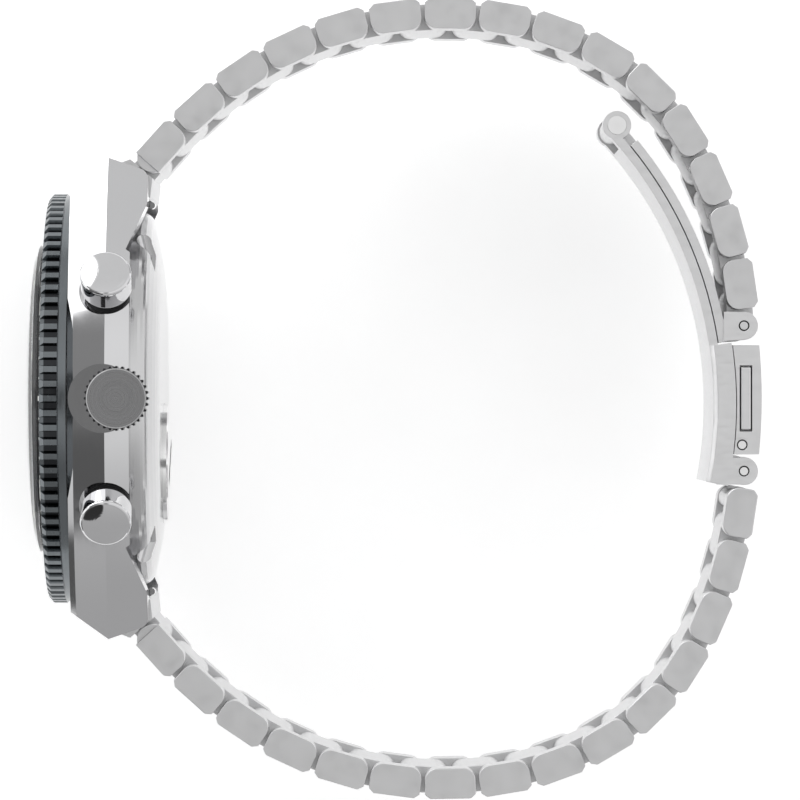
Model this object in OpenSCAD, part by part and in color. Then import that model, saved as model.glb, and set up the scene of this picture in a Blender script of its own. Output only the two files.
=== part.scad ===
// Analogue dive-style chronograph wristwatch on a three-row steel bracelet with a fold-over clasp.
// Millimetres. The loop of the bracelet lies in the XY plane and every bracelet hinge runs along Z.
// The origin is the centre of the caseback's flat. +X points into the wrist, so the dial faces -X.
// +Y points to 12 o'clock and +Z to 3 o'clock, where the crown is.

/* [Case] */
// Half width of the case middle at the crown
case_half_w = 20; // [19.8:0.1:20.3]
// Radius of the case flanks, seen from the front
flank_r = 37; // [36.5:0.5:38]
// Height of the case's front plane above the caseback flat
case_front = 8.5; // [8.4:0.05:8.6]
// Height of the case's rear plane above the caseback flat
case_rear = 2.6; // [2.5:0.05:2.7]
// Height of the crease between the front bevel and the flank
crease = 4.9; // [4.7:0.1:5.1]
// Distance between the lugs
lug_gap = 20.2; // [20.2:0.1:20.4]

/* [Bezel and crystal] */
// Radius of the bezel over its grip teeth
bezel_r = 20; // [19.8:0.1:20.2]
// Number of grip teeth around the bezel
bezel_teeth = 90; // [72:6:96]
// Height of the bezel's front above the caseback flat
bezel_front = 11.1; // [11:0.05:11.2]
// Radius of the crystal
crystal_r = 15; // [14.9:0.05:15.05]
// Height of the crystal's rim above the caseback flat
crystal_rim = 12.4; // [12.3:0.1:12.6]
// Height of the crystal's crown above the caseback flat
crystal_top = 13.45; // [13.2:0.05:13.6]

/* [Crown and pushers] */
// Radius of the crown over its teeth
crown_r = 3.05; // [2.9:0.05:3.2]
// Number of grip teeth on the crown
crown_teeth = 32; // [24:2:36]
// Height of the crown's axis above the caseback flat
crown_x = 3.6; // [3.5:0.05:3.8]
// Distance of the crown's end face from the dial axis
crown_end = 24; // [23.6:0.1:24.4]
// Radius of the pusher caps
pusher_r = 2.45; // [2.3:0.05:2.5]
// Height of the pushers' axes above the caseback flat
pusher_x = 4.75; // [4.7:0.05:4.85]
// Distance of the pushers' end faces from the dial axis
pusher_end = 24; // [23.8:0.1:24.2]
// Angle of each pusher from the crown's axis
pusher_angle = 30; // [29:1:31]

/* [Bracelet] */
// Number of links in each strand
links = 15; // [15:1:15]
// Distance from one link to the next
pitch = 5.29; // [5.25:0.01:5.3]
// Thickness of a link
link_t = 2.95; // [2.9:0.05:3]
// Width over the two outer rows
link_w = 20; // [19.8:0.1:20]
// Width of the centre row
centre_w = 12.6; // [12.4:0.1:12.8]
// Gap between neighbouring links of one row
link_gap = 0.36; // [0.34:0.01:0.38]
// Radius of the link pins
pin_r = 0.45; // [0.4:0.01:0.45]
// Direction of the first link, from +X towards +Y
first_dir = 48; // [48:0.5:48]
// Bend from each link to the next as the bracelet lies closed
bends = [6, 8, 9, 8.5, 9, 8.5, 8.5, 10.5, 10.5, 14, 13, 9, 8, 7];

/* [Clasp] */
// Width of the clasp
clasp_w = 19.2; // [19:0.1:19.4]
// Radius of the curve along which the two blades meet
fold_r = 39.25; // [39.2:0.05:39.3]
// Thickness of each blade
blade_t = 0.85; // [0.8:0.05:0.9]
// Angle of the fold's knuckle around the blades' centre
knuckle_angle = 42.8; // [42.6:0.1:43]
// Length of the side buttons
button_len = 6; // [5.8:0.1:6.1]

/* [Hidden] */

$fn = 96;
eps = 0.01;
steel = [0.76, 0.76, 0.77];
satin = [0.68, 0.68, 0.69];

// Bracelet: the joints between links lie on one chain, worked out from the bends.
pin_off = pitch / 4;          // from the gap between two outer links to the hinge pin
drop = 0.42;                  // the centre row lies this much below the outer rows
row_gap = 0.1;                // side play between the rows
corner_r = 1.2;               // rounded corner on the wrist side
cham_l = 0.5;                 // chamfer on the outer side, along the link
cham_t = 0.42;                // and across it
hinge_play = 0.05;
tail_trim = 0.15;             // the last link stands back from the clasp's ears
clasp_centre = pin_off + 1.15; // the last 12 o'clock centre piece reaches past the ear pin
open_centre = -0.5;           // the last 6 o'clock one stops short of it
start = [-1.69, 22.28];       // where the first link meets the end link
function dir(k) = first_dir - (k > 1 ? bends[k - 2] + (first_dir - dir(k - 1)) : 0);
function joint_at(k) = k == 0 ? start : joint_at(k - 1) + pitch * [cos(dir(k)), sin(dir(k))];
clasp_dir = -90;
function next_dir(k) = k == links ? clasp_dir : dir(k + 1);
chain_end = joint_at(links);
ear_x = chain_end[0];
ear_y = chain_end[1] - pin_off;

// Lugs and end links
lug_front_y = 20.5;
lug_tip = [-crease, 23.1];
lug_rear = -1.05;
slot_wall_y = 18.95;
bar_at = [-3.5, 20.5];
knob_at = [-0.85, 18.6];
bar_r = 0.75;
strip_h = 0.55;               // narrow polished strip along the case's front edge
strip_in = 0.34;
bevel_in = 1;                 // how far the bevel leans in from the flank
flank_rear = 3.5;             // where the flank starts to lean in towards the back
crown_face_r = 2.82;
crown_pocket = [-5.15, 0];    // round spot face beside the crown
crown_pocket_r = 3.27;
crown_pocket_z = 18.55;
hinge0 = start + pin_off * [cos(first_dir), sin(first_dir)];

// Case interior, as heights above the caseback flat
neck_r = 16.2;
neck_top = 11.2;
seat = 9.6;
dial_top = 7.85;
dial_t = 0.4;
opening_r = 14.2;
cavity_r = 16.6;
tube_r = 0.7;
back_r = 18.25;
back_ring = 3.05;             // depth of the caseback's inner ring
back_seal_r = [16.95, 17.5];
push_tube_r = 1.75;
push_neck_r = 1.3;
push_well_r = 2.65;
push_well = 19.6;
push_head = 21.15;            // where the cap starts above its neck
push_foot = 15.2;             // inner end of the pusher's stem
push_dome_r = 10.5;           // the cap's end face is slightly domed
push_dome_a = 11.5;           // half angle of that dome
gasket_t = 0.3;
crown_back = 20.75;
crown_grip = [21.15, 23.3];   // where the teeth are at full height
crown_bore = 22.9;
hatch_y = -6.35;
hatch_r = 5.85;
hatch_top = 0.55;
hatch_seat = 0.3;
hatch_plug_r = 5.1;
hand_bore = 0.4;
post_r = 0.36;
small_post_r = 0.25;
sub_r = 6.9;                  // distance of the small dials from the centre

// Clasp
fold_c = [ear_x - 41.28, -0.55];
inner_r = fold_r - 0.05 - blade_t;
outer_r = fold_r + 0.05 + blade_t;
knuckle_r = 1.38;
knuckle = fold_c + (fold_r + 0.35) * [cos(knuckle_angle), sin(knuckle_angle)];
knuckle_pin_r = 0.6;
knuckle_head_r = 0.9;
tongue_w = 12;
ear_r = 1.36;
ear_in = 1.95;
cover_top = 5.15;
cover_bottom = -5.4;
cover_in = fold_r + 1.35;
cover_out = 1.72;
flange_t = 0.9;
rivet_r = 0.39;
rivet_sink = 0.52;
slot_l = button_len + 0.36;
slot_t = 1.2;
slot_x = 0.18;
base_end = -8.2;              // the base's lower end
base_cham = [0.45, 0.3];      // bright chamfer along its wrist side: across the blade, and in from the side

// ---------- helpers ----------
module xcyl(r, x0, x1) translate([x0, 0, 0]) rotate([0, 90, 0]) cylinder(r = r, h = x1 - x0);
module xturn() rotate([0, 90, 0]) rotate_extrude($fn = 180) children();
module ring(r0, r1, x0, x1) difference() {
    xcyl(r1, x0, x1);
    xcyl(r0, x0 - 1, x1 + 1);
}
module zcyl(at, r, z0, z1) translate([at[0], at[1], z0]) cylinder(r = r, h = z1 - z0);
module both_z() { children(); mirror([0, 0, 1]) children(); }
module six_side() mirror([0, 1, 0]) children();
function arc(c, r, a0, a1, n) = [for (i = [0 : n]) let(a = a0 + (a1 - a0) * i / n) c + r * [cos(a), sin(a)]];
function wheel(n, root, tip, land) = [for (i = [0 : n - 1], q = [[-0.5, root], [-land, tip], [land, tip],
    [0.5, root]]) let(a = 360 * (i + q[0] * 0.62) / n) q[1] * [cos(a), sin(a)]];

// ---------- bracelet ----------
// Side outline of a link from x0 to x1, with its outer face at the height top.
module link_side(x0, x1, top) {
    r = min(corner_r, (x1 - x0) / 2 - 0.05);
    translate([x0, r - link_t / 2]) square([x1 - x0, top + link_t / 2 - r - cham_t]);
    translate([x0 + r, -link_t / 2]) square([x1 - x0 - 2 * r, link_t / 2]);
    for (x = [x0 + r, x1 - r]) translate([x, r - link_t / 2]) circle(r = r);
    polygon([[x0, 0], [x0, top - cham_t], [x0 + cham_l, top], [x1 - cham_l, top], [x1, top - cham_t], [x1, 0]]);
}

// Places its children at joint k, turned part of the way from link k to the one after it.
module at_joint(k, part) translate([each joint_at(k), 0])
    rotate([0, 0, dir(k) * (1 - part) + next_dir(k) * part]) children();

module link_frame(k) translate([each joint_at(k - 1), 0]) rotate([0, 0, dir(k)]) children();

// One of the two outer pieces of link k, with blind holes for its two pins.
module outer_piece(k) {
    from = k == 1 ? 0.62 : link_gap / 2;
    to = pitch - link_gap / 2 - (k == links ? tail_trim : 0);
    z0 = centre_w / 2 + row_gap;
    difference() {
        union() {
            translate([0, 0, z0]) linear_extrude(link_w / 2 - z0) {
                if (k > 1) link_side(from, to, link_t / 2);
                else {
                    link_side(link_gap / 2 + corner_r, to, link_t / 2);
                    translate([from, -link_t / 2]) square([2 * corner_r, link_t]);
                }
            }
            if (k == 1) zcyl([pin_off, 0], link_t / 2, z0, link_w / 2 - 0.5);
        }
        for (x = [pin_off, pitch - pin_off]) zcyl([x, 0], pin_r + eps, z0 - 1, link_w / 2 - 0.8);
    }
}

// Centre piece between link k and the next: fixed to link k, bored for the next hinge pin.
module centre_piece(k, from, to) {
    difference() {
        at_joint(k, 0.5) translate([0, 0, -centre_w / 2]) linear_extrude(centre_w)
            link_side(from, to, link_t / 2 - drop);
        at_joint(k, 0) if (k > 0) zcyl([-pin_off, 0], pin_r + eps, -centre_w, centre_w);
        at_joint(k, 1) zcyl([pin_off, 0], (k == links ? rivet_r : pin_r) + hinge_play, -centre_w, centre_w);
    }
}

module bracelet_link(k, last_to) {
    half = pitch / 2 - link_gap / 2;
    color(satin) link_frame(k) {
        both_z() outer_piece(k);
        for (x = [pin_off, pitch - pin_off])
            zcyl([x, 0], pin_r, 1 - link_w / 2, link_w / 2 - 1);
    }
    color(satin) centre_piece(k, -half, k == links ? last_to : half);
}

// ---------- case ----------
module case_side() polygon(concat(
    [[-case_front, -lug_front_y], [-case_front, lug_front_y], lug_tip],
    arc([lug_rear - 1.1, 21.0], 1.1, 62, 0, 6),
    [[lug_rear, 18.6], [-case_rear - 0.4, 14.2], [-case_rear, 13.9], [-case_rear, -13.9],
     [-case_rear - 0.4, -14.2], [lug_rear, -18.6]],
    arc([lug_rear - 1.1, -21.0], 1.1, 0, -62, 6),
    [[-crease, -lug_tip[1]]]));

// Everything inside one flank: a turned body with the bevel as its cone.
module flank_body() translate([0, 0, case_half_w - flank_r]) xturn()
    polygon([[0, -case_front - eps], [flank_r - bevel_in - strip_in, -case_front - eps],
             [flank_r - bevel_in, -case_front + strip_h], [flank_r, -crease], [flank_r, -flank_rear],
             [flank_r - 0.35, 1], [0, 1]]);

module pusher_axis(side) translate([-pusher_x, 0, 0]) rotate([-side * pusher_angle, 0, 0]) children();

module case_middle() color(steel) difference() {
    union() {
        intersection() {
            translate([0, 0, -case_half_w - 1]) linear_extrude(2 * case_half_w + 2) case_side();
            flank_body();
            mirror([0, 0, 1]) flank_body();
        }
        xcyl(neck_r, -neck_top, -case_front + 1);
        xcyl(back_r, -case_rear - 1, -case_rear);
    }
    xcyl(back_r + 0.05, -case_rear, 2);
    translate([-case_rear, -25, -lug_gap / 2]) cube([5, 50, lug_gap]);
    ring(back_seal_r[0] - 0.1, back_seal_r[1] + 0.1, -case_rear - 0.35, -case_rear + 1);
    xcyl(crystal_r + 0.4, -neck_top - 1, -seat);
    xcyl(opening_r, -neck_top - 1, -case_rear);
    xcyl(cavity_r, -dial_top + dial_t, 1);
    for (s = [-1, 1]) {
        translate([-20, s > 0 ? slot_wall_y : -slot_wall_y - 20, -lug_gap / 2]) cube([40, 20, lug_gap]);
        zcyl([bar_at[0], s * bar_at[1]], 0.5, -11.3, 11.3);
        pusher_axis(s) {
            translate([0, 0, 10]) cylinder(r = push_tube_r + eps, h = 20);
            translate([0, 0, push_well]) cylinder(r = push_well_r, h = 20);
        }
    }
    zcyl([-crown_x, 0], tube_r + eps, 10, 30);
    zcyl(crown_pocket, crown_pocket_r, crown_pocket_z, 30);
}

// The end link fills the gap between the lugs and carries the first hinge.
module end_link() difference() {
    union() {
        translate([0, 0, -link_w / 2]) linear_extrude(link_w) difference() {
            polygon([[-case_front + 0.3, slot_wall_y + 0.05], [-case_front + 0.3, 19.8], [-crease, 22.3],
                     [-2.9, 23.05], [-0.75, 21.2], [-0.95, 19.4], [-1.3, slot_wall_y + 0.05]]);
            translate(hinge0) circle(r = link_t / 2 + 0.12);
        }
        translate([0, 0, -centre_w / 2]) linear_extrude(centre_w) translate(start)
            rotate(first_dir) link_side(-2.6, pitch / 2 - link_gap / 2, link_t / 2 - drop);
    }
    zcyl(bar_at, bar_r + 0.05, -11, 11);
    zcyl(hinge0, pin_r + hinge_play, -11, 11);
    release_slot(0.12);
}

// Straight path of the quick-release arm from the spring bar to its knob.
module release_slot(play) {
    d = knob_at - bar_at;
    translate([each bar_at, 7.4 - play]) rotate([0, 0, atan2(d[1], d[0])])
        translate([0, -0.3 - play, 0]) cube([norm(d) + 4 * play, 0.6 + 2 * play, 1.6 + 2 * play]);
}

module end_links() color(satin) {
    end_link();
    six_side() end_link();
}

module spring_bar() {
    zcyl(bar_at, bar_r, -9.7, 9.7);
    zcyl(bar_at, 0.45, -11.1, 11.1);
    release_slot(0);
    zcyl(knob_at, 0.32, 7.4, 9.4);
}

module spring_bars() color(steel) {
    spring_bar();
    six_side() spring_bar();
}

module tube(r_out, r_in, z0, z1) difference() {
    translate([0, 0, z0]) cylinder(r = r_out, h = z1 - z0);
    translate([0, 0, z0 - 1]) cylinder(r = r_in, h = z1 - z0 + 2);
}

module case_tubes() color(steel) {
    translate([-crown_x, 0, 0]) tube(tube_r, 0.45, 17, 21.6);
    for (s = [-1, 1]) pusher_axis(s) tube(push_tube_r, push_neck_r + 0.05, cavity_r, push_well);
}

module caseback() {
    edge = concat(arc([11, -20.5], 20.5, 90, 73, 5), arc([16.9, -2.2], 1.35, 72, 0, 6));
    color(steel) difference() {
        union() {
            xturn() polygon(concat([[0, 0]], edge, [[back_r, -case_rear], [0, -case_rear]]));
            xcyl(cavity_r - 0.05, -back_ring, -case_rear + 0.1);
        }
        xcyl(15.6, -5, -1);
        translate([0, hatch_y, 0]) {
            xcyl(hatch_plug_r + 0.02, -3, 1);
            xcyl(hatch_r + 0.03, -hatch_seat, 1);
        }
        for (a = [57, 123, 237, 303]) rotate([a, 0, 0]) wrench_notch();
    }
}

// Round-bottomed notch in the caseback's shoulder, deeper towards its rim.
module wrench_notch() translate([-0.1, 0, 15.6]) rotate([0, -12, 0]) cylinder(r = 1.55, h = 6);

module battery_hatch() color(steel) translate([0, hatch_y, 0]) difference() {
    union() {
        xturn() polygon([[0, -hatch_seat], [hatch_r, -hatch_seat], [hatch_r, hatch_top - 0.15],
                         [hatch_r - 0.15, hatch_top], [0, hatch_top]]);
        xcyl(hatch_plug_r, -1.3, 0);
    }
    rotate([35, 0, 0]) translate([hatch_top - 0.3, -0.55, -3.6]) cube([1, 1.1, 7.2]);
}

module seals() color([0.12, 0.12, 0.13]) {
    ring(crystal_r + 0.02, crystal_r + 0.38, -11.6, -seat);
    ring(back_seal_r[0], back_seal_r[1], -case_rear - 0.3, -case_rear);
    for (s = [-1, 1]) pusher_axis(s) tube(2.1, push_neck_r + 0.04, push_well, push_well + gasket_t);
}

module crystal() color([0.8, 0.88, 0.92, 0.4]) {
    dome_r = 95;
    xturn() difference() {
        polygon(concat([[0, -seat], [crystal_r, -seat], [crystal_r, -crystal_rim + 0.35]],
            [for (a = [8.4 : -0.7 : 0]) [dome_r * sin(a), -crystal_top + dome_r * (1 - cos(a)) * 0.98]]));
        polygon(concat([[0, -seat + 1], [14, -seat + 1], [14, -10.7], [13.4, -11.3]],
            [for (a = [7.4 : -0.8 : 0]) [dome_r * sin(a), -11.95 + dome_r * (1 - cos(a))]],
            [[0, -11.95]]));
    }
}

module chapter_ring() color([0.2, 0.22, 0.25]) xturn()
    polygon([[13.3, -dial_top], [opening_r - 0.05, -dial_top], [opening_r - 0.05, -seat + 0.1],
             [13.9, -seat + 0.1]]);

// Small dials at 3, 6 and 9 o'clock; the hands stand at 6 and 9.
module sub_places() for (a = [90, 180, 270]) rotate([a, 0, 0]) translate([0, sub_r, 0]) children();

module dial() color([0.1, 0.12, 0.16]) difference() {
    xcyl(opening_r - 0.1, -dial_top, -dial_top + dial_t);
    xcyl(0.8, -dial_top - 1, 0);
    sub_places() {
        xcyl(0.5, -dial_top - 1, 0);
        xcyl(2.7, -dial_top - 1, -dial_top + 0.12);
    }
}

module hour_markers() color([0.92, 0.92, 0.86]) for (h = [0 : 11]) rotate([30 * h, 0, 0])
    if (h % 3 == 0) {
        if (h == 0) for (z = [-0.85, 0.25]) translate([-dial_top - 0.25, 10.3, z]) cube([0.25, 2.4, 0.6]);
        else translate([-dial_top - 0.25, 11.3, -0.5]) cube([0.25, 1.5, 1]);
    } else translate([0, 11.8, 0]) xcyl(0.75, -dial_top - 0.25, -dial_top);

module movement() color([0.75, 0.7, 0.5]) difference() {
    union() {
        xcyl(13.4, -dial_top + dial_t, -2.75);
        xcyl(post_r, -9.45, -dial_top + 1);
        for (a = [180, 270]) rotate([a, 0, 0]) translate([0, sub_r, 0])
            xcyl(small_post_r, -8.55, -dial_top + 1);
    }
    translate([0, hatch_y, 0]) xcyl(4.85, -5, -2);
    zcyl([-crown_x, 0], 0.45, 6, 15);
    for (s = [-1, 1]) pusher_axis(s) translate([0, 0, 12.6]) cylinder(r = 1, h = 3);
}

module battery() color(steel) translate([0, hatch_y, 0]) {
    xcyl(4.75, -5, -3.4);
    xcyl(4.3, -3.4, -2.95);
}

// Grip teeth in the profile plane, cut to a turned outline so that the front edge is chamfered.
module bezel_ring() color([0.35, 0.39, 0.43]) difference() {
    intersection() {
        xturn() polygon([[neck_r + 0.08, -case_front - 0.08], [bezel_r - 0.15, -case_front - 0.08],
            [bezel_r - 0.15, -9.3], [bezel_r, -9.42], [bezel_r, -10.7], [bezel_r - 0.45, -bezel_front],
            [neck_r + 0.08, -bezel_front]]);
        union() {
            translate([-bezel_front - 1, 0, 0]) rotate([0, 90, 0]) linear_extrude(bezel_front - 8.3)
                polygon(wheel(bezel_teeth, bezel_r - 0.5, bezel_r + 0.05, 0.3));
            xcyl(bezel_r, -9.4, -case_front);
        }
    }
    xcyl(19.05, -bezel_front - 1, -bezel_front + 0.4);
}

module bezel_insert() color([0.12, 0.15, 0.2]) xturn()
    polygon([[neck_r + 0.12, -bezel_front + 0.4], [19, -bezel_front + 0.4], [19, -bezel_front - 0.02],
             [neck_r + 0.12, -bezel_front - 0.3]]);

module crown() color(steel) difference() {
    union() {
        translate([-crown_x, 0, 0]) rotate_extrude() polygon([[0, crown_back], [crown_r - 0.3, crown_back],
            [crown_face_r, crown_grip[1] - 0.3], [crown_face_r, crown_end - 0.12],
            [crown_face_r - 0.1, crown_end], [0, crown_end]]);
        intersection() {
            translate([-crown_x, 0, crown_back + 0.05]) linear_extrude(3)
                polygon(wheel(crown_teeth, crown_r - 0.2, crown_r, 0.2));
            translate([-crown_x, 0, 0]) rotate_extrude() polygon([[0, crown_grip[0] - 0.25],
                [crown_r - 0.25, crown_grip[0] - 0.25], [crown_r, crown_grip[0]], [crown_r, crown_grip[1]],
                [crown_r - 0.15, crown_grip[1] + 0.15], [0, crown_grip[1] + 0.15]]);
        }
    }
    zcyl([-crown_x, 0], tube_r + 0.05, 20, crown_bore);
    translate([-crown_x, 0, crown_end - 0.12]) difference() {
        cylinder(r = 1.55, h = 1);
        translate([0, 0, -1]) cylinder(r = 1.2, h = 3);
    }
}

module crown_stem() color(steel) zcyl([-crown_x, 0], 0.4, 8, crown_bore);

module pusher(side) color(steel) pusher_axis(side) {
    grooves = [for (z = [20.15, 20.55, 20.95], q = [[0, 0], [-0.22, 0.04], [-0.22, 0.14], [0, 0.18]])
        [push_neck_r + q[0], z + q[1]]];
    dome = [for (a = [push_dome_a : -1.15 : 0])
        [push_dome_r * sin(a), pusher_end - push_dome_r * (1 - cos(a))]];
    edge_r = pusher_r - dome[0][0];
    rotate_extrude() polygon(concat([[0, push_foot], [push_neck_r, push_foot]], grooves,
        [[push_neck_r, push_head], [pusher_r - 0.35, push_head]],
        arc([pusher_r - 0.25, push_head + 0.25], 0.25, -90, 0, 3),
        arc([dome[0][0], dome[0][1] - edge_r], edge_r, 0, 72, 4), dome));
}

module pusher_start() pusher(1);
module pusher_reset() pusher(-1);

// A hand lies at the height x and points to angle a, clockwise from 12 as the dial is read.
module hand(a, x, len, tail, w, bore, t) rotate([a, 0, 0]) difference() {
    union() {
        translate([-x - t, 0, 0]) rotate([0, 90, 0]) linear_extrude(t) union() {
            polygon([[-w / 2, -tail], [w / 2, -tail], [w / 2, len - w], [0, len], [-w / 2, len - w]]);
            circle(r = bore + 0.45);
        }
    }
    xcyl(bore, -x - 1, -x + 1);
}

module hour_hand() color([0.95, 0.95, 0.9]) hand(305, 8.25, 7.2, 1.6, 1.1, hand_bore, 0.2);
module minute_hand() color([0.95, 0.95, 0.9]) hand(60, 8.65, 11.6, 2, 0.9, hand_bore, 0.2);
module chrono_hand() color([0.85, 0.3, 0.1]) hand(0, 9.05, 12.8, 3.4, 0.34, hand_bore, 0.16);
module small_hand() hand(0, 8.2, 2.2, 0.7, 0.3, 0.3, 0.12);
module seconds_hand() color([0.95, 0.95, 0.9]) translate([0, -sub_r, 0]) small_hand();
module counter_hand() color([0.95, 0.95, 0.9]) translate([0, 0, -sub_r]) small_hand();

// ---------- clasp ----------
// Part of a ring around the blades' centre, between the angles a0 and a1.
module band(r0, r1, a0, a1) translate(fold_c) intersection() {
    difference() {
        circle(r = r1, $fn = 360);
        circle(r = r0, $fn = 360);
    }
    polygon([[0, 0], for (a = [a0, (a0 + a1) / 2, a1]) 60 * [cos(a), sin(a)]]);
}

function angle_of(y) = asin((y - fold_c[1]) / fold_r);

module lower_pin() translate([ear_x, -ear_y]) children();
module upper_pin() translate([ear_x, ear_y]) children();

module side_wall(z0, z1) {
    translate([0, 0, z0]) linear_extrude(z1 - z0) children();
    translate([0, 0, -z1]) linear_extrude(z1 - z0) children();
}

module rivet_hole(at) {
    zcyl(at, rivet_r + eps, -clasp_w, clasp_w);
    both_z() zcyl(at, rivet_sink, clasp_w / 2 - 0.5, clasp_w);
}

module clasp_base() color(satin) difference() {
    union() {
        translate([0, 0, -clasp_w / 2 + 0.4]) linear_extrude(clasp_w - 0.8)
            band(inner_r, fold_r - 0.05, angle_of(base_end), knuckle_angle - 0.4);
        side_wall(clasp_w / 2 - flange_t, clasp_w / 2)
            band(inner_r, cover_in - 0.08, angle_of(base_end), angle_of(5.2));
        side_wall(centre_w / 2 + 0.25, clasp_w / 2) {
            lower_pin() circle(r = ear_r);
            lower_pin() polygon([[-2.6, -1.3], [-0.4, -1.3], [0.5, 1.26], [0, 1.3], [-2.6, 1.3]]);
        }
        side_wall(tongue_w / 2 + 0.15, clasp_w / 2 - 0.4) translate(knuckle) circle(r = knuckle_r);
    }
    translate([0, 0, -tongue_w / 2 - 0.15]) linear_extrude(tongue_w + 0.3) translate(knuckle) circle(r = 2.2);
    zcyl(knuckle, knuckle_pin_r + eps, -clasp_w, clasp_w);
    both_z() zcyl(knuckle, knuckle_head_r + eps, clasp_w / 2 - 0.8, clasp_w);
    rivet_hole([ear_x, -ear_y]);
    both_z() translate([each fold_c, 0]) rotate_extrude($fn = 360)
        polygon([[inner_r - 1, clasp_w / 2 - base_cham[1] * (1 + 1 / base_cham[0])],
                 [inner_r + base_cham[0], clasp_w / 2], [inner_r + base_cham[0], clasp_w], [inner_r - 1, clasp_w]]);
}

module clasp_pins() color(steel) {
    zcyl(knuckle, knuckle_pin_r, -clasp_w / 2 + 0.5, clasp_w / 2 - 0.5);
    both_z() zcyl(knuckle, knuckle_head_r, clasp_w / 2 - 0.8, clasp_w / 2 - 0.35);
    zcyl([ear_x, -ear_y], rivet_r, -clasp_w / 2, clasp_w / 2);
    zcyl([ear_x - 0.18, -ear_y + 2.53], rivet_r, -clasp_w / 2, clasp_w / 2);
}

module clasp_cover() color(satin) difference() {
    translate([0, 0, -clasp_w / 2]) linear_extrude(clasp_w) difference() {
        intersection() {
            translate([ear_x - 3, cover_bottom]) square([3 + cover_out, cover_top - cover_bottom]);
            translate([ear_x + cover_out - 55, 0]) circle(r = 55, $fn = 360);
        }
        translate(fold_c) circle(r = cover_in, $fn = 360);
    }
    rivet_hole([ear_x - 0.18, -ear_y + 2.53]);
    both_z() translate([ear_x + slot_x - slot_t / 2, -slot_l / 2, clasp_w / 2 - 3.2]) cube([slot_t, slot_l, 4]);
}

module side_button() translate([ear_x + slot_x - slot_t / 2 + 0.14, -button_len / 2, clasp_w / 2 - 2.2])
    cube([slot_t - 0.28, button_len, 2.35]);

module clasp_button_crown_side() color(steel) side_button();
module clasp_button_far_side() color(steel) mirror([0, 0, 1]) side_button();

module clasp_blade() color(satin) {
    from = angle_of(5.35);
    full = 39.4;
    difference() {
        union() {
            translate([0, 0, -clasp_w / 2 + 0.4]) linear_extrude(clasp_w - 0.8) band(fold_r + 0.05, outer_r, from, full);
            translate([0, 0, -tongue_w / 2]) linear_extrude(tongue_w) {
                band(fold_r + 0.05, outer_r, full - 1, knuckle_angle);
                translate(knuckle) circle(r = knuckle_r - 0.2);
            }
            side_wall(centre_w / 2 + 0.25, clasp_w / 2) {
                upper_pin() circle(r = ear_r);
                upper_pin() polygon([[-ear_in, -1.48], [0, -ear_r], [0, ear_r], [-ear_in, ear_r]]);
            }
        }
        zcyl(knuckle, knuckle_pin_r + 0.05, -clasp_w, clasp_w);
        rivet_hole([ear_x, ear_y]);
    }
    zcyl([ear_x, ear_y], rivet_r, -clasp_w / 2, clasp_w / 2);
}

case_middle();
end_links();
spring_bars();
case_tubes();
seals();
crystal();
chapter_ring();
dial();
hour_markers();
movement();
battery();
caseback();
battery_hatch();
bezel_ring();
bezel_insert();
crown();
crown_stem();
pusher_start();
pusher_reset();
hour_hand();
minute_hand();
chrono_hand();
seconds_hand();
counter_hand();
clasp_base();
clasp_pins();
clasp_cover();
clasp_button_crown_side();
clasp_button_far_side();
clasp_blade();
for (k = [1 : links]) {
    bracelet_link(k, clasp_centre);
    six_side() bracelet_link(k, open_centre);
}
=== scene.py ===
# Steel dive-style chronograph wristwatch: materials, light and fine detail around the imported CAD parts.
# Metres, in the part's own frame: +X into the wrist, +Y to 12 o'clock, +Z to 3 o'clock.
import math

import bmesh
import bpy
from mathutils import Matrix, Vector


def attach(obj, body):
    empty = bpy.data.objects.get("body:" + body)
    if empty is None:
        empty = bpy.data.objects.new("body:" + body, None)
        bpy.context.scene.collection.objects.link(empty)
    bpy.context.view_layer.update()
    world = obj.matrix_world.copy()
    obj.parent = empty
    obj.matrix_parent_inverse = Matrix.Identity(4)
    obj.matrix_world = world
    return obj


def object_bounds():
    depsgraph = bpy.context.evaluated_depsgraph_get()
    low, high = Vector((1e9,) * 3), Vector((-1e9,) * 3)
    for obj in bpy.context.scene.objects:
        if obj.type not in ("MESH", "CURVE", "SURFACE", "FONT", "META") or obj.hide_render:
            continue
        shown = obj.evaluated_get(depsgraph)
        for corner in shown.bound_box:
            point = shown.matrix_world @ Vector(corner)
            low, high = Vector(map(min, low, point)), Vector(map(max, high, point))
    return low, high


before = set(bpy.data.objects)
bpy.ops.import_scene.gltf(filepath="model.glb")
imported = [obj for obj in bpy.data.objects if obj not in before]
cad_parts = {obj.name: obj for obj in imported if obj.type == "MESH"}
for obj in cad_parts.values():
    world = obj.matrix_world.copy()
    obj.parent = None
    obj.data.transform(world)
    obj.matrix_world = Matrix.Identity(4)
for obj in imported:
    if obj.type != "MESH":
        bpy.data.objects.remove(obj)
cad_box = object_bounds()

MM = 0.001
CAMERA_FAR = 571 * MM            # from the dial's axis to the camera, looking at the 3 o'clock side
VIEW_WIDTH = 78.4 * MM           # what the picture spans in the plane of the dial's axis
VIEW_CENTRE = (23.08 * MM, -0.15 * MM)
SENSOR = 36.0

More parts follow.
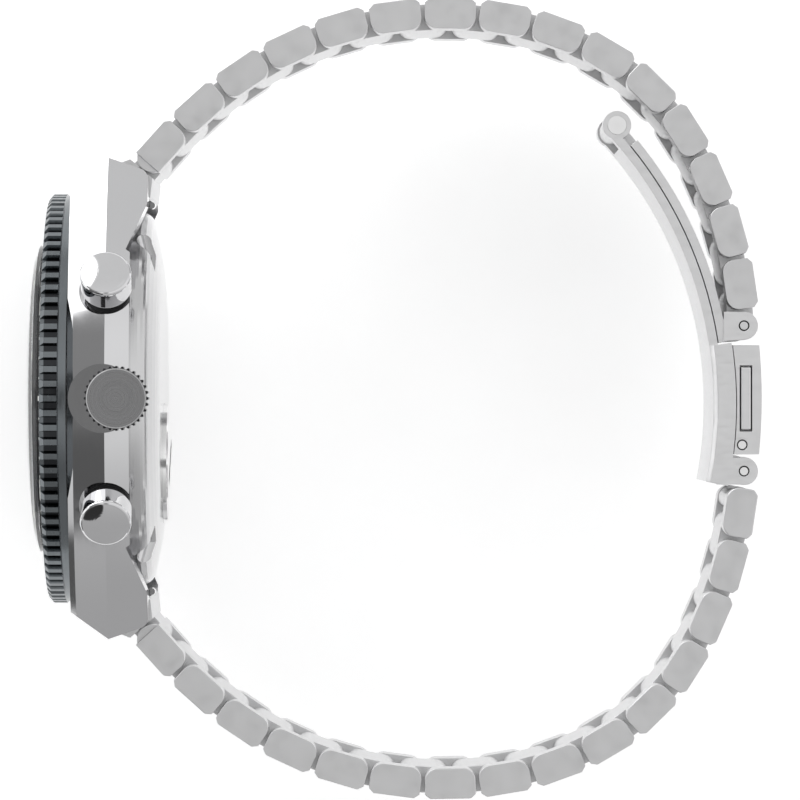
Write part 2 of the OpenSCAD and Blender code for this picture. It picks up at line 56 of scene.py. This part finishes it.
# Places on the CAD parts that the materials and the fine detail are laid out from
CROWN_AXIS = (-3.6 * MM, 0, 0)
CROWN_FACE_R = 2.84 * MM
HATCH_AXIS = (0, -6.35 * MM, 0)
BEZEL_VALLEY_R = 19.55 * MM      # the bottom of the bezel's grip teeth
BEZEL_CREST_R = 19.85 * MM
BEZEL_TEETH_X = (-9.35 * MM, -10.75 * MM)
INSERT_R = (16.32 * MM, 19 * MM)
INSERT_X = (-11.4 * MM, -11.12 * MM)
DIAL_TOP = -7.85 * MM
DIAL_EDGE = 13.2 * MM            # where the minute track ends
SMALL_DIAL_R = 6.9 * MM          # from the dial's centre to each small dial
SMALL_DIAL_DEPTH = 0.12 * MM
EAR_PIN = (56.234 * MM, 7.005 * MM)
COVER_RIVET = (56.054 * MM, -4.475 * MM)


# ---------- camera ----------
def make_camera():
    data = bpy.data.cameras.new("camera")
    data.sensor_width = SENSOR
    data.lens = SENSOR * CAMERA_FAR / VIEW_WIDTH
    data.clip_start = 0.01
    data.clip_end = 10
    camera = bpy.data.objects.new("camera", data)
    camera.location = (VIEW_CENTRE[0], VIEW_CENTRE[1], CAMERA_FAR)
    bpy.context.collection.objects.link(camera)
    bpy.context.scene.camera = camera


make_camera()


# ---------- node helpers ----------
class Shader:
    """A node material with one Principled shader and short calls for what feeds it.

    Base Color, Metallic and Roughness are set from the arguments, and any other socket by its name.
    """

    def __init__(self, name, color, metallic=1.0, roughness=0.3, **sockets):
        self.mat = bpy.data.materials.new(name)
        self.mat.use_nodes = True
        self.tree = self.mat.node_tree
        self.bsdf = self.tree.nodes["Principled BSDF"]
        self.set("Base Color", (*color, 1))
        self.set("Metallic", metallic)
        self.set("Roughness", roughness)
        for key, value in sockets.items():
            self.set(key.replace("_", " "), value)
        self.coords = self.node("ShaderNodeTexCoord").outputs["Object"]

    def set(self, socket, value):
        self.bsdf.inputs[socket].default_value = value

    def node(self, kind, **props):
        n = self.tree.nodes.new(kind)
        for key, value in props.items():
            setattr(n, key, value)
        return n

    def link(self, a, b):
        self.tree.links.new(a, b)

    def feed(self, output, socket):
        self.link(output, self.bsdf.inputs[socket])

    def scaled(self, scale, turn=(0, 0, 0)):
        m = self.node("ShaderNodeMapping")
        m.inputs["Scale"].default_value = scale
        m.inputs["Rotation"].default_value = turn
        self.link(self.coords, m.inputs["Vector"])
        return m.outputs["Vector"]

    def noise(self, vector, scale, detail=3.0, rough=0.6):
        n = self.node("ShaderNodeTexNoise")
        n.inputs["Scale"].default_value = scale
        n.inputs["Detail"].default_value = detail
        n.inputs["Roughness"].default_value = rough
        self.link(vector, n.inputs["Vector"])
        return n.outputs["Fac"]

    def from_axis(self, centre, along):
        """Distance from a line through centre, parallel to one of the frame's axes."""
        flat = [0.0 if axis == along else 1.0 for axis in "XYZ"]
        shifted = self.node("ShaderNodeVectorMath", operation="SUBTRACT")
        self.link(self.coords, shifted.inputs[0])
        shifted.inputs[1].default_value = centre
        across = self.node("ShaderNodeVectorMath", operation="MULTIPLY")
        self.link(shifted.outputs[0], across.inputs[0])
        across.inputs[1].default_value = flat
        length = self.node("ShaderNodeVectorMath", operation="LENGTH")
        self.link(across.outputs[0], length.inputs[0])
        return length.outputs["Value"]

    def ramp(self, fac, low, high, at=(0.3, 0.7)):
        r = self.node("ShaderNodeMapRange")
        r.inputs["From Min"].default_value, r.inputs["From Max"].default_value = at
        r.inputs["To Min"].default_value, r.inputs["To Max"].default_value = low, high
        self.link(fac, r.inputs["Value"])
        return r.outputs["Result"]

    def tint(self, fac, dark, light, at=(0.3, 0.7)):
        r = self.node("ShaderNodeValToRGB")
        r.color_ramp.elements[0].position, r.color_ramp.elements[1].position = at
        r.color_ramp.elements[0].color = (*dark, 1)
        r.color_ramp.elements[1].color = (*light, 1)
        self.link(fac, r.inputs["Fac"])
        return r.outputs["Color"]

    def bump(self, height, strength, distance=0.00002):
        b = self.node("ShaderNodeBump")
        b.inputs["Strength"].default_value = strength
        b.inputs["Distance"].default_value = distance
        self.link(height, b.inputs["Height"])
        self.feed(b.outputs["Normal"], "Normal")


def mixed(color, factor):
    return tuple(c * factor for c in color)


# ---------- materials ----------
def satin_steel(name, color, grain, roughness=0.34, depth=0.12):
    """Brushed steel: fine lines across the grain and faint cloudiness."""
    s = Shader(name, color, 1.0, roughness)
    lines = s.noise(s.scaled(grain), 1.0, 4.0)
    clouds = s.noise(s.coords, 160.0, 2.0)
    s.feed(s.ramp(lines, roughness * 0.85, roughness * 1.25), "Roughness")
    s.feed(s.tint(clouds, mixed(color, 0.985), color), "Base Color")
    s.bump(lines, depth, 0.000004)
    return s.mat


def polished_steel(name, color=(0.8, 0.8, 0.81), roughness=0.06):
    """Polished steel with hairline scratches and a little haze from wear."""
    s = Shader(name, color, 1.0, roughness)
    hairs = s.noise(s.scaled((900, 9000, 900), (0.3, 0.2, 0.6)), 1.0, 2.0)
    haze = s.noise(s.coords, 320.0, 3.0)
    s.feed(s.ramp(haze, roughness * 0.7, roughness * 1.6), "Roughness")
    s.feed(s.tint(haze, mixed(color, 0.97), color), "Base Color")
    s.bump(hairs, 0.03, 0.000001)
    return s.mat


def turned_steel(name, color, centre, along, roughness=0.16, ring=9000.0):
    """Lathe-turned steel: fine rings around an axis, with faint cloudiness in its colour."""
    s = Shader(name, color, 1.0, roughness)
    distance = s.from_axis(centre, along)
    spread = s.node("ShaderNodeCombineXYZ")
    s.link(distance, spread.inputs["X"])
    rings = s.noise(spread.outputs["Vector"], ring, 3.0)
    haze = s.noise(s.coords, 280.0, 3.0)
    s.feed(s.ramp(rings, roughness * 0.75, roughness * 1.3), "Roughness")
    s.feed(s.tint(haze, mixed(color, 0.97), color), "Base Color")
    s.bump(rings, 0.1, 0.000003)
    return s.mat


def bezel_steel(teeth_x):
    """Satin plated steel, with painted shade in the valleys between the grip teeth."""
    color = (0.17, 0.185, 0.195)
    collar_x, front_x = teeth_x
    s = Shader("bezel_steel", color, 1.0, 0.22)
    parts = s.node("ShaderNodeSeparateXYZ")
    s.link(s.coords, parts.inputs["Vector"])
    valley_shade = s.ramp(s.from_axis((0, 0, 0), "X"), 1, 0, (BEZEL_VALLEY_R, BEZEL_CREST_R))
    for low, high in ((collar_x, collar_x - 0.1 * MM), (front_x, front_x + 0.1 * MM)):
        inside = s.ramp(parts.outputs["X"], 0, 1, (low, high))
        both = s.node("ShaderNodeMath", operation="MULTIPLY")
        s.link(valley_shade, both.inputs[0])
        s.link(inside, both.inputs[1])
        valley_shade = both.outputs["Value"]
    lines = s.noise(s.scaled((2500, 500, 500)), 1.0, 4.0)
    # Painted shade: the valleys between the grip teeth are coloured near black.
    s.feed(s.tint(valley_shade, color, (0.035, 0.037, 0.04), (0.15, 0.85)), "Base Color")
    s.feed(s.ramp(lines, 0.16, 0.28), "Roughness")
    s.bump(lines, 0.08, 0.000004)
    return s.mat


def crown_steel(centre, face_r):
    """Turned grey face inside the rim, with painted shade on the grip teeth outside it."""
    face = (0.36, 0.36, 0.365)
    s = Shader("crown_steel", face, 1.0, 0.22)
    distance = s.from_axis(centre, "Z")
    spread = s.node("ShaderNodeCombineXYZ")
    s.link(distance, spread.inputs["X"])
    rings = s.noise(spread.outputs["Vector"], 12000.0, 2.0)
    # Painted shade: the grip teeth outside the face's rim are coloured near black.
    teeth_shade = s.ramp(distance, 0, 1, (face_r, face_r + 0.03 * MM))
    s.feed(s.tint(teeth_shade, face, (0.02, 0.02, 0.022), (0.2, 0.8)), "Base Color")
    s.feed(s.ramp(rings, 0.2, 0.3), "Roughness")
    s.bump(rings, 0.03, 0.000002)
    return s.mat


def glass(name):
    s = Shader(name, (0.97, 0.985, 0.99), 0.0, 0.02, IOR=1.52, Transmission_Weight=1.0)
    smears = s.noise(s.coords, 140.0, 4.0)
    s.feed(s.ramp(smears, 0.0, 0.03, (0.45, 0.8)), "Roughness")
    return s.mat


def ceramic(name, color):
    """Gloss insert with depth under its clear surface."""
    s = Shader(name, color, 0.0, 0.12, Coat_Weight=1.0, Coat_Roughness=0.03)
    grain = s.noise(s.coords, 9000.0, 2.0)
    clouds = s.noise(s.coords, 180.0, 2.0)
    s.feed(s.tint(clouds, mixed(color, 0.85), mixed(color, 1.15)), "Base Color")
    s.feed(s.ramp(grain, 0.08, 0.18), "Roughness")
    return s.mat


def sunburst(name, color):
    """Dial lacquer brushed outward from the centre."""
    s = Shader(name, color, 0.75, 0.3, Coat_Weight=0.5, Coat_Roughness=0.06)
    parts = s.node("ShaderNodeSeparateXYZ")
    s.link(s.coords, parts.inputs["Vector"])
    angle = s.node("ShaderNodeMath", operation="ARCTAN2")
    s.link(parts.outputs["Z"], angle.inputs[0])
    s.link(parts.outputs["Y"], angle.inputs[1])
    spread = s.node("ShaderNodeCombineXYZ")
    s.link(angle.outputs["Value"], spread.inputs["X"])
    rays = s.noise(spread.outputs["Vector"], 120.0, 3.0)
    s.feed(s.tint(rays, mixed(color, 0.75), mixed(color, 1.3)), "Base Color")
    s.feed(s.ramp(rays, 0.24, 0.4), "Roughness")
    return s.mat


def paint(name, color, roughness=0.35, metallic=0.0):
    """Printed or lacquered colour with a slightly uneven film."""
    s = Shader(name, color, metallic, roughness)
    film = s.noise(s.coords, 2600.0, 3.0)
    s.feed(s.tint(film, mixed(color, 0.93), color), "Base Color")
    s.feed(s.ramp(film, roughness * 0.8, roughness * 1.2), "Roughness")
    s.bump(film, 0.1, 0.000004)
    return s.mat


def rubber(name):
    s = Shader(name, (0.02, 0.02, 0.021), 0.0, 0.6)
    grain = s.noise(s.coords, 7000.0, 3.0)
    s.feed(s.ramp(grain, 0.5, 0.75), "Roughness")
    s.bump(grain, 0.3, 0.00001)
    return s.mat


def plate(name):
    """Plated movement bridge with fine straight stripes."""
    s = Shader(name, (0.72, 0.62, 0.38), 1.0, 0.28)
    stripes = s.noise(s.scaled((10, 900, 60)), 1.0, 2.0)
    s.feed(s.tint(stripes, (0.62, 0.53, 0.32), (0.78, 0.68, 0.44)), "Base Color")
    s.feed(s.ramp(stripes, 0.2, 0.36), "Roughness")
    return s.mat


def assign(material, *names):
    for name in names:
        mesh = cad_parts[name].data
        mesh.materials.clear()
        mesh.materials.append(material)


LINKS = [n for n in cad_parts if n.startswith("link_")]
CLASP = ["clasp_base", "clasp_blade", "clasp_cover"]
link_steel = satin_steel("satin_link_steel", (0.71, 0.71, 0.715), (500, 500, 5000))
clasp_steel = satin_steel("satin_clasp_steel", (0.8, 0.8, 0.805), (600, 3000, 600))
case_steel = satin_steel("case_steel", (0.65, 0.65, 0.66), (2500, 200, 2500), 0.08, 0.02)
polish = polished_steel("polished_steel")
cap_steel = polished_steel("pusher_steel", (0.68, 0.68, 0.69), 0.04)
pin_steel = satin_steel("fine_satin_steel", (0.93, 0.93, 0.93), (900, 1500, 900), 0.42, 0.01)
back_steel = turned_steel("caseback_steel", (0.6, 0.6, 0.605), (0, 0, 0), "X", 0.12)
hatch_steel = turned_steel("hatch_steel", (0.85, 0.85, 0.85), HATCH_AXIS, "X", 0.1)
white_print = paint("white_print", (0.82, 0.83, 0.8), 0.45)
lume = paint("lume", (0.78, 0.82, 0.68), 0.6)
# Dark ink for the date figures; the same material is the painted shade round the clasp's rivets.
dark_print_and_shade = paint("dark_print_and_painted_shade", (0.02, 0.02, 0.02), 0.7)
orange = paint("orange_lacquer", (0.75, 0.16, 0.02), 0.3)
hand_steel = polished_steel("hand_steel", (0.85, 0.85, 0.84), 0.1)
assign(link_steel, *LINKS, "end_links")
assign(clasp_steel, *CLASP, "clasp_button_crown_side", "clasp_button_far_side")
assign(case_steel, "case_middle")
assign(polish, "spring_bars", "case_tubes", "crown_stem", "battery")
assign(cap_steel, "pusher_start", "pusher_reset")
assign(pin_steel, "clasp_pins")
assign(crown_steel(CROWN_AXIS, CROWN_FACE_R), "crown")
assign(back_steel, "caseback")
assign(hatch_steel, "battery_hatch")
assign(bezel_steel(BEZEL_TEETH_X), "bezel_ring")
assign(ceramic("bezel_insert_gloss", (0.012, 0.018, 0.032)), "bezel_insert")
assign(glass("crystal_glass"), "crystal")
assign(sunburst("dial_sunburst", (0.02, 0.03, 0.055)), "dial")
assign(paint("chapter_satin", (0.03, 0.036, 0.048), 0.4, 0.3), "chapter_ring")
assign(lume, "hour_markers")
assign(rubber("black_rubber"), "seals")
assign(plate("movement_plate"), "movement")
assign(hand_steel, "hour_hand", "minute_hand", "seconds_hand", "counter_hand")
assign(orange, "chrono_hand")


# ---------- edges ----------
SHARP = math.radians(12)         # edges that turn by more than this are broken


def soften(name, width):
    """Breaks a CAD node's sharp edges by a small radius, as tumbling and polishing do."""
    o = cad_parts[name]
    weld = o.modifiers.new("weld", "WELD")
    weld.merge_threshold = 1e-6
    flat = o.modifiers.new("flat", "DECIMATE")
    flat.decimate_type = "DISSOLVE"
    flat.angle_limit = math.radians(1.0)
    bevel = o.modifiers.new("bevel", "BEVEL")
    bevel.width = width
    bevel.segments = 2
    bevel.limit_method = "ANGLE"
    bevel.angle_limit = SHARP
    bevel.harden_normals = True
    bevel.use_clamp_overlap = True


SOFT_EDGES = {"end_links": 0.08, "clasp_base": 0.05, "clasp_blade": 0.05, "clasp_cover": 0.08,
              "clasp_button_crown_side": 0.1, "clasp_button_far_side": 0.1}
for link in LINKS:
    soften(link, 0.1 * MM)
for node, width in SOFT_EDGES.items():
    soften(node, width * MM)


# ---------- fine printed and applied detail ----------
def on_dial(angle, radius, lift):
    """A frame whose X runs clockwise, Y outward and Z out of the dial, at a clock angle in degrees."""
    a = math.radians(angle)
    outward = Vector((0, math.cos(a), math.sin(a)))
    clockwise = Vector((0, -math.sin(a), math.cos(a)))
    place = Matrix((clockwise, outward, Vector((-1, 0, 0)))).transposed().to_4x4()
    place.translation = outward * radius + Vector((lift, 0, 0))
    return place


def plate_outline(bm, place, outline, thick):
    """Adds a flat closed shape of the given outline, standing on the surface."""
    low = [bm.verts.new(place @ Vector((x, y, 0))) for x, y in outline]
    high = [bm.verts.new(place @ Vector((x, y, thick))) for x, y in outline]
    bm.faces.new(high)
    bm.faces.new(low[::-1])
    for i in range(len(outline)):
        j = (i + 1) % len(outline)
        bm.faces.new((low[i], low[j], high[j], high[i]))


def bar(width, length):
    x, y = width / 2, length / 2
    return [(-x, -y), (x, -y), (x, y), (-x, y)]


def disc(radius):
    turns = [2 * math.pi * i / ROUND for i in range(ROUND)]
    return [(radius * math.cos(a), radius * math.sin(a)) for a in turns]


def numeral(bm, place, text, height, thick):
    """Adds plain figures, centred on the place."""
    curve = bpy.data.curves.new("figures", "FONT")
    curve.body = text
    curve.size = height
    curve.extrude = thick / 2
    curve.align_x = "CENTER"
    curve.align_y = "CENTER"
    holder = bpy.data.objects.new("figures", curve)
    mesh = bpy.data.meshes.new_from_object(holder)
    mesh.transform(place @ Matrix.Translation((0, 0, thick / 2)))
    bm.from_mesh(mesh)
    bpy.data.objects.remove(holder)
    bpy.data.curves.remove(curve)
    bpy.data.meshes.remove(mesh)


def piece(name, bm, material, body):
    mesh = bpy.data.meshes.new(name)
    bm.to_mesh(mesh)
    bm.free()
    mesh.materials.append(material)
    o = bpy.data.objects.new(name, mesh)
    bpy.context.collection.objects.link(o)
    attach(o, body)
    return o


ROUND = 32                       # corners in a small disc
SINK = 0.01 * MM                 # how far printed detail reaches into its surface
PRINT = 0.03 * MM
DIAL_INK = 0.02 * MM


def on_insert(angle, radius):
    """The same frame on the bezel insert, tilted to lie on its shallow cone."""
    slope = (INSERT_X[1] - INSERT_X[0]) / (INSERT_R[1] - INSERT_R[0])
    lift = INSERT_X[0] + slope * (radius - INSERT_R[0]) + SINK
    return on_dial(angle, radius, lift) @ Matrix.Rotation(-math.atan(slope), 4, "X")


def bezel_scale():
    """A triangle with a luminous pip at zero, figures at the tens, bars at the fives and minute ticks."""
    middle, outer = 17.65 * MM, 18.45 * MM
    bm = bmesh.new()
    for minute in range(60):
        angle = minute * 6
        if minute == 0:
            triangle = [(-1.15 * MM, 0.95 * MM), (0, -0.95 * MM), (1.15 * MM, 0.95 * MM)]
            plate_outline(bm, on_insert(0, middle), triangle, PRINT)
        elif minute % 10 == 0:
            numeral(bm, on_insert(angle, 17.6 * MM), str(minute), 1.9 * MM, PRINT)
        elif minute % 5 == 0:
            plate_outline(bm, on_insert(angle, middle), bar(0.45 * MM, 1.6 * MM), PRINT)
        else:
            plate_outline(bm, on_insert(angle, outer), bar(0.16 * MM, 0.55 * MM), PRINT)
    piece("bezel_scale", bm, white_print, "bezel")
    bm = bmesh.new()
    plate_outline(bm, on_insert(0, 17.95 * MM), disc(0.34 * MM), 0.19 * MM)
    piece("bezel_pip", bm, lume, "bezel")


def minute_track(bm):
    for tick in range(60):
        length, width = (0.55 * MM, 0.14 * MM) if tick % 5 == 0 else (0.34 * MM, 0.08 * MM)
        place = on_dial(tick * 6, DIAL_EDGE - length / 2, DIAL_TOP + SINK)
        plate_outline(bm, place, bar(width, length), DIAL_INK)


UPRIGHT = on_dial(0, 0, 0).to_3x3().to_4x4()
SMALL_DIAL_FLOOR = DIAL_TOP + SINK + SMALL_DIAL_DEPTH


def small_dial(bm, clock_angle, figures):
    """Ticks around a small dial and upright figures at its quarters."""
    centre = on_dial(clock_angle, SMALL_DIAL_R, 0).translation
    for tick in range(30):
        place = on_dial(tick * 12, 2.45 * MM, SMALL_DIAL_FLOOR)
        place.translation += centre
        length = 0.34 * MM if tick % 5 == 0 else 0.2 * MM
        plate_outline(bm, place, bar(0.06 * MM, length), DIAL_INK)
    for quarter, text in enumerate(figures):
        if text:
            spot = on_dial(quarter * 90, 1.65 * MM, SMALL_DIAL_FLOOR).translation + centre
            numeral(bm, Matrix.Translation(spot) @ UPRIGHT, text, 0.7 * MM, DIAL_INK)


def dial_print():
    bm = bmesh.new()
    minute_track(bm)
    small_dial(bm, 180, ("60", "20", "", "40"))
    small_dial(bm, 270, ("60", "15", "30", "45"))
    piece("dial_print", bm, white_print, "case")


def date_window():
    """A pale disc with a plain figure in the round window at 3 o'clock."""
    window = Matrix.Translation(on_dial(90, SMALL_DIAL_R, SMALL_DIAL_FLOOR).translation) @ UPRIGHT
    bm = bmesh.new()
    plate_outline(bm, window, disc(1.5 * MM), PRINT)
    piece("date_disc", bm, white_print, "case")
    bm = bmesh.new()
    numeral(bm, window @ Matrix.Translation((0, 0, PRINT)), "28", 1.5 * MM, DIAL_INK)
    piece("date_figures", bm, dark_print_and_shade, "case")


def rivet_grooves(name, body, rivets):
    """Dark rings of painted shade in the countersinks around the clasp's rivet heads, on both sides."""
    head_r, sink_r, height = 0.395 * MM, 0.515 * MM, 9.5 * MM
    bm = bmesh.new()
    for x, y in rivets:
        for side in (-1, 1):
            inner, outer = ([bm.verts.new((x + r * px, y + r * py, side * height)) for px, py in disc(1)]
                            for r in (head_r, sink_r))
            for i in range(ROUND):
                j = (i + 1) % ROUND
                corners = (inner[i], outer[i], outer[j], inner[j])
                bm.faces.new(corners if side > 0 else corners[::-1])
    piece(name, bm, dark_print_and_shade, body)


def hand_inlay(name, body, angle, lift, start, end, width):
    """A luminous strip along a hand, from start to end and at the height lift, all in millimetres."""
    bm = bmesh.new()
    place = on_dial(angle, (start + end) / 2 * MM, -lift * MM + SINK)
    plate_outline(bm, place, bar(width * MM, (end - start) * MM), 0.05 * MM)
    piece(name, bm, lume, body)


bezel_scale()
dial_print()
date_window()
# Dark rings of painted shade round the clasp's rivet heads.
rivet_grooves("blade_rivet_painted_shade", "blade", (EAR_PIN,))
rivet_grooves("base_rivet_painted_shade", "base", ((EAR_PIN[0], -EAR_PIN[1]), COVER_RIVET))
hand_inlay("hour_hand_lume", "hour_hand", 305, 8.45, 1.7, 6.0, 0.6)
hand_inlay("minute_hand_lume", "minute_hand", 60, 8.85, 2.0, 10.4, 0.46)


# ---------- stage ----------
FLOOR_HALF = 0.4
FLOOR_GAP = 0.05 * MM


def make_stage():
    floor_z = cad_box[0][2] - FLOOR_GAP
    mesh = bpy.data.meshes.new("floor")
    corners = [(x, y, floor_z) for x, y in bar(2 * FLOOR_HALF, 2 * FLOOR_HALF)]
    mesh.from_pydata(corners, [], [(0, 1, 2, 3)])
    floor = bpy.data.objects.new("floor", mesh)
    bpy.context.collection.objects.link(floor)
    s = Shader("pale_floor", (0.93, 0.93, 0.93), 0.0, 0.6, Emission_Color=(1, 1, 1, 1),
               Emission_Strength=0.42)
    mottle = s.noise(s.coords, 60.0, 3.0)
    s.feed(s.tint(mottle, (0.92, 0.92, 0.92), (0.95, 0.95, 0.95)), "Base Color")
    mesh.materials.append(s.mat)


def area_light(name, at, aim, size, power):
    data = bpy.data.lights.new(name, "AREA")
    data.shape = "RECTANGLE"
    data.size = data.size_y = size
    data.energy = power
    lamp = bpy.data.objects.new(name, data)
    lamp.location = at
    lamp.rotation_euler = (Vector(aim) - Vector(at)).to_track_quat("-Z", "Y").to_euler()
    bpy.context.collection.objects.link(lamp)


# The studio's panels: direction, full and outer angle in degrees, brightness. Later ones cover earlier ones.
PANELS = (((-0.62, 0.0, 0.78), 18, 30, 0.3),
          ((-0.68, -0.32, 0.66), 5, 18, 0.13),
          ((-0.62, 0.72, 0.3), 28, 30, 2.0),
          ((-0.36, -0.6, 0.71), 16, 17.5, 0.04),
          ((-0.92, 0.0, 0.38), 12, 17, 1.4),
          ((-0.81, -0.6, 0.0), 11, 17, 0.12),
          ((0.5, 0.5, 0.7), 14, 24, 1.0),
          ((0.0, 0.0, 1.0), 5, 11, 0.22))


def make_world():
    """A studio surround: soft grey, darker towards 6 o'clock, with lighter and darker panels in it."""
    world = bpy.data.worlds.new("studio")
    world.use_nodes = True
    tree = world.node_tree
    direction = tree.nodes.new("ShaderNodeTexCoord").outputs["Generated"]

    def facing(towards):
        dot = tree.nodes.new("ShaderNodeVectorMath")
        dot.operation = "DOT_PRODUCT"
        tree.links.new(direction, dot.inputs[0])
        dot.inputs[1].default_value = Vector(towards).normalized()
        return dot.outputs["Value"]

    def span(value, low, high, to_low, to_high):
        m = tree.nodes.new("ShaderNodeMapRange")
        m.interpolation_type = "SMOOTHSTEP"
        tree.links.new(value, m.inputs["Value"])
        for key, number in (("From Min", low), ("From Max", high), ("To Min", to_low), ("To Max", to_high)):
            m.inputs[key].default_value = number
        return m.outputs["Result"]

    def shade(under, value, low, high, brightness):
        """Turns what is under it to the brightness as the value goes from low to high."""
        mix = tree.nodes.new("ShaderNodeMix")
        tree.links.new(span(value, low, high, 0, 1), mix.inputs["Factor"])
        tree.links.new(under, mix.inputs[2])
        mix.inputs[3].default_value = brightness
        return mix.outputs[0]

    grey = span(facing((0, 1, 0)), -0.9, 0.1, 0.5, 1.0)
    grey = shade(grey, facing((0, 1, 0)), 0.3, 0.8, 0.78)
    for towards, full, outer, brightness in PANELS:
        rim, core = (math.cos(math.radians(a)) for a in (outer, full))
        grey = shade(grey, facing(towards), rim, core, brightness)
    tree.links.new(grey, tree.nodes["Background"].inputs["Strength"])
    tree.nodes["Background"].inputs["Color"].default_value = (1, 1, 1, 1)
    bpy.context.scene.world = world


make_stage()
make_world()
area_light("left_key", (-0.5, 0.6, 0.25), (0.023, 0, 0), 0.4, 1.0)
bpy.context.scene.view_settings.view_transform = "Standard"
